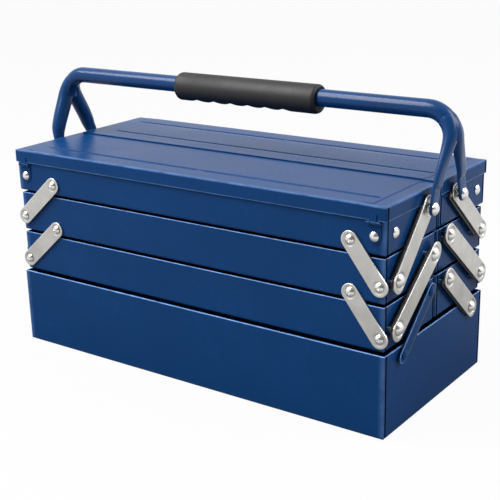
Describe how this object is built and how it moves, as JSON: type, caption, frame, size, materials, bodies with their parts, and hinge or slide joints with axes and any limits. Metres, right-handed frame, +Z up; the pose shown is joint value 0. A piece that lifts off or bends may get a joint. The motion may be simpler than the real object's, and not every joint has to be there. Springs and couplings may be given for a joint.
{
  "type": "cantilever tool box",
  "caption": "Sheet-steel cantilever tool box: a deep base, stacked trays that swing out on end arms, hinged lids and a forked tube carrying handle with a foam grip.",
  "frame": {"origin": "on the surface the box stands on, under the middle of the whole object", "axes": "+X along the length, -Y towards the front long face, +Z up"},
  "size_m": [0.578, 0.2452, 0.3535],
  "materials": {
    "blue_paint": "semi-gloss fine-textured powder coat",
    "bar_steel": "satin zinc-plated steel",
    "link_steel": "satin black coated steel",
    "rivet_steel": "bright plated steel",
    "grip_foam": "matt moulded foam"
  },
  "bodies": {
    "root": {"base_box": "blue_paint", "base_pivot_rivets": "rivet_steel"},
    "front_lower_arm_pair": {"front_lower_arm_right": "blue_paint", "front_lower_arm_left": "blue_paint"},
    "front_lower_link_pair": {"front_lower_link_right": "link_steel", "front_lower_link_left": "link_steel"},
    "front_lower_tray_set": {"front_lower_tray": "blue_paint", "front_lower_rivets": "rivet_steel"},
    "front_middle_arm_pair": {"front_middle_arm_right": "bar_steel", "front_middle_arm_left": "bar_steel"},
    "front_middle_link_pair": {"front_middle_link_right": "link_steel", "front_middle_link_left": "link_steel"},
    "front_middle_tray_set": {"front_middle_tray": "blue_paint", "front_middle_rivets": "rivet_steel", "front_middle_bar_right": "bar_steel", "front_middle_bar_left": "bar_steel"},
    "front_upper_arm_pair": {"front_upper_arm_right": "bar_steel", "front_upper_arm_left": "bar_steel"},
    "front_upper_link_pair": {"front_upper_link_right": "link_steel", "front_upper_link_left": "link_steel"},
    "front_upper_tray_set": {"front_upper_tray": "blue_paint", "front_upper_rivets": "rivet_steel", "front_upper_bar_right": "bar_steel", "front_upper_bar_left": "bar_steel", "front_hinge_leaves": "blue_paint", "front_hinge_pins": "rivet_steel", "front_corner_gussets": "blue_paint"},
    "front_lid_set": {"front_lid": "blue_paint"},
    "rear_lower_arm_pair": {"rear_lower_arm_right": "bar_steel", "rear_lower_arm_left": "bar_steel"},
    "rear_lower_link_pair": {"rear_lower_link_right": "link_steel", "rear_lower_link_left": "link_steel"},
    "rear_lower_tray_set": {"rear_lower_tray": "blue_paint", "rear_lower_rivets": "rivet_steel"},
    "rear_middle_arm_pair": {"rear_middle_arm_right": "bar_steel", "rear_middle_arm_left": "bar_steel"},
    "rear_middle_link_pair": {"rear_middle_link_right": "link_steel", "rear_middle_link_left": "link_steel"},
    "rear_middle_tray_set": {"rear_middle_tray": "blue_paint", "rear_middle_rivets": "rivet_steel", "rear_middle_bar_right": "bar_steel", "rear_middle_bar_left": "bar_steel"},
    "rear_upper_arm_pair": {"rear_upper_arm_right": "bar_steel", "rear_upper_arm_left": "bar_steel"},
    "rear_upper_link_pair": {"rear_upper_link_right": "link_steel", "rear_upper_link_left": "link_steel"},
    "rear_upper_tray_set": {"rear_upper_tray": "blue_paint", "rear_upper_rivets": "rivet_steel", "rear_upper_bar_right": "bar_steel", "rear_upper_bar_left": "bar_steel", "rear_hinge_leaves": "blue_paint", "rear_hinge_pins": "rivet_steel", "rear_corner_gussets": "blue_paint"},
    "rear_lid_set": {"rear_lid": "blue_paint"},
    "handle_set": {"handle_tube": "blue_paint", "handle_grip": "grip_foam", "handle_rear_studs": "rivet_steel"}
  },
  "joints": [
    {"name": "front_lower_swing", "type": "hinge", "parent": "root", "child": "front_lower_arm_pair", "pos_m": [0, -0.084, 0.087], "axis": [1, 0, 0], "range_deg": [0, 94.81]},
    {"name": "front_lower_level", "type": "hinge", "parent": "front_lower_arm_pair", "child": "front_lower_tray_set", "pos_m": [0, -0.024, 0.1395], "axis": [1, 0, 0], "range_deg": [-94.81, 0]},
    {"name": "front_lower_link", "type": "hinge", "parent": "root", "child": "front_lower_link_pair", "pos_m": [0, -0.07144, 0.08669], "axis": [1, 0, 0], "range_deg": [0, 94.81]},
    {"name": "front_middle_swing", "type": "hinge", "parent": "front_lower_tray_set", "child": "front_middle_arm_pair", "pos_m": [0, -0.096, 0.1205], "axis": [1, 0, 0], "range_deg": [0, 83.19]},
    {"name": "front_middle_level", "type": "hinge", "parent": "front_middle_arm_pair", "child": "front_middle_tray_set", "pos_m": [0, -0.0165, 0.18], "axis": [1, 0, 0], "range_deg": [-83.19, 0]},
    {"name": "front_middle_link", "type": "hinge", "parent": "front_lower_tray_set", "child": "front_middle_link_pair", "pos_m": [0, -0.10713, 0.12278], "axis": [1, 0, 0], "range_deg": [0, 83.19]},
    {"name": "front_upper_swing", "type": "hinge", "parent": "front_middle_tray_set", "child": "front_upper_arm_pair", "pos_m": [0, -0.096, 0.1735], "axis": [1, 0, 0], "range_deg": [0, 79.6]},
    {"name": "front_upper_level", "type": "hinge", "parent": "front_upper_arm_pair", "child": "front_upper_tray_set", "pos_m": [0, -0.036, 0.2365], "axis": [1, 0, 0], "range_deg": [-79.6, 0]},
    {"name": "front_upper_link", "type": "hinge", "parent": "front_middle_tray_set", "child": "front_upper_link_pair", "pos_m": [0, -0.10704, 0.17423], "axis": [1, 0, 0], "range_deg": [0, 79.6]},
    {"name": "front_lid_hinge", "type": "hinge", "parent": "front_upper_tray_set", "child": "front_lid_set", "pos_m": [0, -0.1204, 0.2386], "axis": [1, 0, 0], "range_deg": [0, 105]},
    {"name": "rear_lower_swing", "type": "hinge", "parent": "root", "child": "rear_lower_arm_pair", "pos_m": [0, 0.084, 0.087], "axis": [-1, 0, 0], "range_deg": [0, 94.81]},
    {"name": "rear_lower_level", "type": "hinge", "parent": "rear_lower_arm_pair", "child": "rear_lower_tray_set", "pos_m": [0, 0.024, 0.1395], "axis": [-1, 0, 0], "range_deg": [-94.81, 0]},
    {"name": "rear_lower_link", "type": "hinge", "parent": "root", "child": "rear_lower_link_pair", "pos_m": [0, 0.07144, 0.08669], "axis": [-1, 0, 0], "range_deg": [0, 94.81]},
    {"name": "rear_middle_swing", "type": "hinge", "parent": "rear_lower_tray_set", "child": "rear_middle_arm_pair", "pos_m": [0, 0.107, 0.1235], "axis": [-1, 0, 0], "range_deg": [0, 79.14]},
    {"name": "rear_middle_level", "type": "hinge", "parent": "rear_middle_arm_pair", "child": "rear_middle_tray_set", "pos_m": [0, 0.022, 0.192], "axis": [-1, 0, 0], "range_deg": [-79.14, 0]},
    {"name": "rear_middle_link", "type": "hinge", "parent": "rear_lower_tray_set", "child": "rear_middle_link_pair", "pos_m": [0, 0.0962, 0.12129], "axis": [-1, 0, 0], "range_deg": [0, 79.14]},
    {"name": "rear_upper_swing", "type": "hinge", "parent": "rear_middle_tray_set", "child": "rear_upper_arm_pair", "pos_m": [0, 0.105, 0.177], "axis": [-1, 0, 0], "range_deg": [0, 94.64]},
    {"name": "rear_upper_level", "type": "hinge", "parent": "rear_upper_arm_pair", "child": "rear_upper_tray_set", "pos_m": [0, 0.035, 0.2365], "axis": [-1, 0, 0], "range_deg": [-94.64, 0]},
    {"name": "rear_upper_link", "type": "hinge", "parent": "rear_middle_tray_set", "child": "rear_upper_link_pair", "pos_m": [0, 0.09247, 0.17649], "axis": [-1, 0, 0], "range_deg": [0, 94.64]},
    {"name": "rear_lid_hinge", "type": "hinge", "parent": "rear_upper_tray_set", "child": "rear_lid_set", "pos_m": [0, 0.1204, 0.2386], "axis": [-1, 0, 0], "range_deg": [0, 105]},
    {"name": "handle_tilt", "type": "hinge", "parent": "front_upper_tray_set", "child": "handle_set", "pos_m": [0, -0.036, 0.2365], "axis": [1, 0, 0], "range_deg": [0, 78]}
  ],
  "couplings": [
    {"joint": "front_lower_level", "follows": "front_lower_swing", "ratio": -1},
    {"joint": "front_lower_link", "follows": "front_lower_swing", "ratio": 1},
    {"joint": "front_middle_level", "follows": "front_middle_swing", "ratio": -1},
    {"joint": "front_middle_link", "follows": "front_middle_swing", "ratio": 1},
    {"joint": "front_upper_level", "follows": "front_upper_swing", "ratio": -1},
    {"joint": "front_upper_link", "follows": "front_upper_swing", "ratio": 1},
    {"joint": "rear_lower_level", "follows": "rear_lower_swing", "ratio": -1},
    {"joint": "rear_lower_link", "follows": "rear_lower_swing", "ratio": 1},
    {"joint": "rear_middle_level", "follows": "rear_middle_swing", "ratio": -1},
    {"joint": "rear_middle_link", "follows": "rear_middle_swing", "ratio": 1},
    {"joint": "rear_upper_level", "follows": "rear_upper_swing", "ratio": -1},
    {"joint": "rear_upper_link", "follows": "rear_upper_swing", "ratio": 1}
  ]
}
